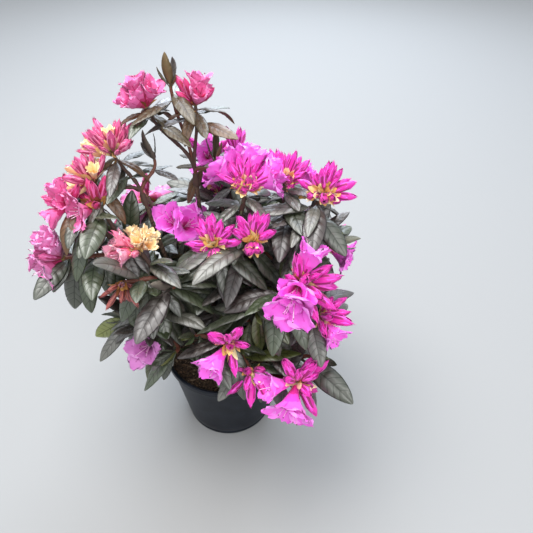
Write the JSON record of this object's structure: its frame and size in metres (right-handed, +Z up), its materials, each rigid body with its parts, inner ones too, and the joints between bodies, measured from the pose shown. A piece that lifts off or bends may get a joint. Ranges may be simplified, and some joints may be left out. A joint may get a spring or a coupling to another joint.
{
  "type": "potted rhododendron",
  "caption": "Young evergreen flowering shrub in a dark plastic nursery pot, with forked boughs, arching pointed leaves and fanned trusses of funnel-shaped magenta-pink flowers.",
  "frame": {"origin": "centre of the pot's flat underside", "axes": "+Z up; +X to the viewer's right and +Y away from the viewer, seen from the plant's front side, where the low boughs reach out over the pot's right"},
  "size_m": [0.3605, 0.2978, 0.4533],
  "materials": {
    "pot_plastic": "dark blue-black moulded plastic with a soft sheen",
    "potting_mix": "moist brown bark and peat mix, crumbly and dull",
    "bark": "thin grey-brown bark with fine cracks, dull",
    "foliage": "leathery dark grey-green leaves with a purple-brown cast, and magenta-pink petals"
  },
  "bodies": {
    "root": {"pot": "pot_plastic", "potting_mix": "potting_mix", "trunk": "bark", "bough_centre": "bark", "bough_top": "bark", "bough_upper_left": "bark", "bough_right": "bark", "bough_back": "bark", "bough_left": "bark", "bough_front_right": "bark", "bough_front": "bark", "bough_low_left": "bark", "branch_low_right": "bark", "branch_left_front": "bark", "branch_back_right": "bark", "branch_back_left": "bark", "foliage_top": "foliage", "foliage_upper_left": "foliage", "foliage_left": "foliage", "foliage_left_front": "foliage", "foliage_centre": "foliage", "foliage_right": "foliage", "foliage_front_right": "foliage", "foliage_front": "foliage", "foliage_low_right": "foliage", "foliage_low_left": "foliage", "foliage_back": "foliage", "foliage_back_right": "foliage", "foliage_back_left": "foliage"}
  },
  "joints": []
}
